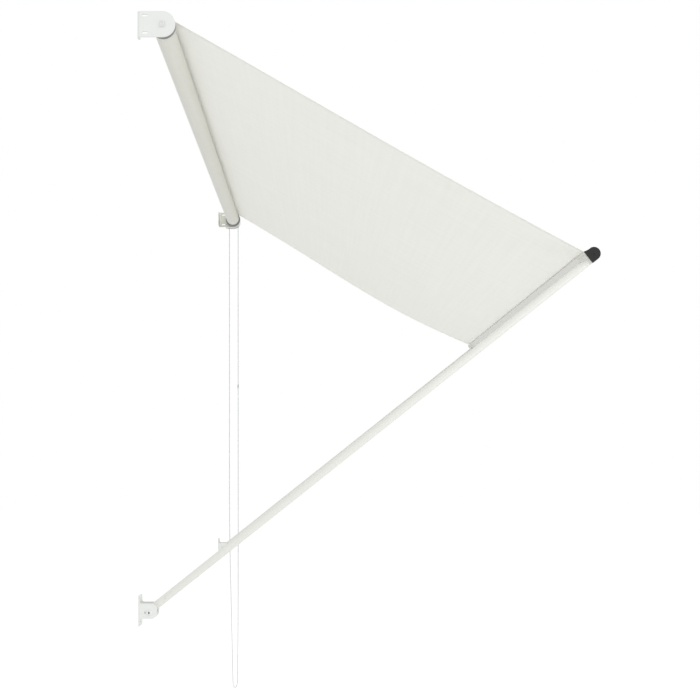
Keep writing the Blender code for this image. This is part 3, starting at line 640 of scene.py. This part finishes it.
turns = []
for i in range(TURNS * TURN_STEPS + 1):
    angle = leave_at - math.tau * i / TURN_STEPS
    radius = wound_radius - TURN_PITCH / 2 - TURN_PITCH * i / TURN_STEPS
    turns.append([(x, roller_y + radius * math.cos(angle), radius * math.sin(angle)) for x in lengths])
step_long = math.tau * wound_radius / TURN_STEPS
work = bmesh.new()
add_grid(work, turns, [x - wound_low.x for x in lengths], [step_long * i for i in range(len(turns))])
wound = thick_cloth("wound_turns", work, TURN_THICK, wound_cloth, "roller")
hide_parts("wound_cloth")

# %% [markdown]
# ## Finishes of the hard parts
#
# The arms, bar and brackets are powder coated: plastic powder is sprayed on dry and baked, which leaves a
# closed satin film with a faint orange-peel ripple, a few millimetres across. The brackets' steel gives a
# slightly cooler white than the aluminium's. Moulded plastics have a finer grain from their tool, and
# zinc plating is a thin, slightly cloudy metal film.


# %% Powder coat, mouldings and metals
def powder_coat(name, colour, deeper, peel_mm=3.0):
    """White powder coat, satin, with its orange peel and slow shifts of tone."""
    material, tree, shader, coordinates = clouded_finish(name, (deeper, colour), 60, 3.0, IOR=1.5)
    peel = add_node(tree, "ShaderNodeTexNoise", Vector=coordinates, Scale=per_mm(peel_mm), Detail=1.5)
    gloss = add_node(
        tree, "ShaderNodeMapRange", Value=peel.outputs["Fac"], **{"To Min": 0.36, "To Max": 0.48}
    )
    tree.links.new(gloss.outputs["Result"], shader.inputs["Roughness"])
    ripple = add_node(tree, "ShaderNodeBump", Strength=0.12, Distance=0.03 * MM, Height=peel.outputs["Fac"])
    tree.links.new(ripple.outputs["Normal"], shader.inputs["Normal"])
    return material


def moulded(name, colour, deeper, roughness, grain_mm=0.8):
    """An injection moulding: an even colour with a fine tool grain."""
    material, tree, shader, coordinates = clouded_finish(name, (deeper, colour), 25, 2.0, IOR=1.49)
    grain = add_node(tree, "ShaderNodeTexNoise", Vector=coordinates, Scale=per_mm(grain_mm), Detail=2.0)
    gloss = add_node(
        tree, "ShaderNodeMapRange", Value=grain.outputs["Fac"],
        **{"To Min": roughness - 0.06, "To Max": roughness + 0.08},
    )
    tree.links.new(gloss.outputs["Result"], shader.inputs["Roughness"])
    texture = add_node(tree, "ShaderNodeBump", Strength=0.12, Distance=0.02 * MM, Height=grain.outputs["Fac"])
    tree.links.new(texture.outputs["Normal"], shader.inputs["Normal"])
    return material


def metal(name, colour, deeper, roughness, scratch_mm=0.7):
    """A bare or plated metal, with cloudy tone and fine scratches in its gloss."""
    material, tree, shader, coordinates = clouded_finish(name, (deeper, colour), 4, 3.0, Metallic=1.0)
    scratches = add_node(tree, "ShaderNodeTexNoise", Vector=coordinates, Scale=per_mm(scratch_mm), Detail=2.0)
    gloss = add_node(
        tree, "ShaderNodeMapRange", Value=scratches.outputs["Fac"],
        **{"To Min": roughness - 0.08, "To Max": roughness + 0.12},
    )
    tree.links.new(gloss.outputs["Result"], shader.inputs["Roughness"])
    return material


# %% Finishes by material slot
FINISHES = {
    "frame_coat": powder_coat("white_powder_coat_on_aluminium", "#E7E8E2", "#E3E4DE"),
    "frame_metal_coat": powder_coat("white_powder_coat_on_steel", "#EDEFEC", "#E9EBE8", 2.5),
    "chain_plastic": chain_plastic,
    "white_plastic": moulded("moulded_white_abs", "#E9EAE8", "#E3E4E1", 0.38),
    # This grey is darker than the light grey part itself: painted shade for the gaps round the roller's end
    # discs.
    "grey_plastic": moulded("moulded_nylon_grey_painted_shade", "#8B8D8D", "#838585", 0.5),
    "black_plastic": moulded("moulded_black_abs", "#1A1A1A", "#161616", 0.55),
    "spring_steel": metal("oiled_spring_steel", "#7C7D80", "#68696C", 0.34),
    "galvanised": metal("galvanised_steel", "#E4E5DC", "#D0D1C8", 0.6),
    "zinc": metal("zinc_plating", "#B9BAB7", "#A2A3A1", 0.34),
    "cloth": cloth,
}
for part in frame["record"]["subparts"]:
    node = frame["nodes"][part["node"]]
    for slot in node.material_slots:
        slot.material = FINISHES[part["material_slot"]]

# %% [markdown]
# ## Studio
#
# A plain white studio: an even white surround that lights from all sides, a pale floor well below the
# chain, and three soft lamps. The large one above shines through the cloth, the low one in front lights
# its under side, and the one beside the eye lights the brackets' faces. A single hard lamp would show
# the shapes more strongly, but white parts need it gentle.
#
# The surround and the floor have to look white without lighting white parts so much that they vanish
# into them. So each is a little brighter to the camera than to the parts, which the Light Path node
# decides. Raising every light would whiten them too, but would wash out the parts.

# %% Studio
SURROUND = 0.88
FLOOR_DROP = 0.35
FLOOR_SIZE = 40.0
FLOOR_GLOW = 0.27  # added for the camera only

scene = bpy.context.scene
scene.view_settings.view_transform = "Standard"
world = bpy.data.worlds.new("white_surround")
world.use_nodes = True
scene.world = world
sky = world.node_tree
background = sky.nodes["Background"]
background.inputs["Color"].default_value = (1, 1, 1, 1)
background.inputs["Strength"].default_value = SURROUND
seen = add_node(sky, "ShaderNodeBackground", Color=(1, 1, 1, 1), Strength=1.0)
is_seen = add_node(sky, "ShaderNodeLightPath").outputs["Is Camera Ray"]
either = add_node(
    sky, "ShaderNodeMixShader", i0=is_seen, i1=background.outputs["Background"],
    i2=seen.outputs["Background"],
)
sky.links.new(either.outputs["Shader"], sky.nodes["World Output"].inputs["Surface"])

pale, tree, shader = new_finish(
    "pale_floor", Roughness=0.9, IOR=1.3, Base_Color=linear("#ECECEC"), Emission_Color=(1, 1, 1, 1)
)
floor_seen = add_node(tree, "ShaderNodeLightPath").outputs["Is Camera Ray"]
glow = add_node(tree, "ShaderNodeMath", {"operation": "MULTIPLY"}, i0=floor_seen, i1=FLOOR_GLOW)
tree.links.new(glow.outputs["Value"], shader.inputs["Emission Strength"])
mesh = bpy.data.meshes.new("floor")
half = FLOOR_SIZE / 2
level = cad_box[0].z - FLOOR_DROP
mesh.from_pydata(
    [(-half, -half, level), (half, -half, level), (half, half, level), (-half, half, level)],
    [],
    [(0, 1, 2, 3)],
)
mesh.materials.append(pale)
floor = bpy.data.objects.new("floor", mesh)
scene.collection.objects.link(floor)

LAMPS = {  # place, size and power
    "soft_lamp_above": ((0.2, -2.2, 2.6), 2.5, 48.0),
    "soft_lamp_below": ((-1.6, -3.0, -1.9), 1.2, 17.0),
    "soft_lamp_beside": ((-3.2, -0.4, 0.5), 1.2, 9.0),
}
AIM = Vector((0.5, -0.6, -0.8))
for name, (place_at, size, power) in LAMPS.items():
    lamp_data = bpy.data.lights.new(name, "AREA")
    lamp_data.shape = "SQUARE"
    lamp_data.size = size
    lamp_data.energy = power
    lamp = bpy.data.objects.new(name, lamp_data)
    lamp.location = place_at
    lamp.rotation_euler = (AIM - lamp.location).to_track_quat("-Z", "Y").to_euler()
    scene.collection.objects.link(lamp)
print("floor at", round(level, 3))
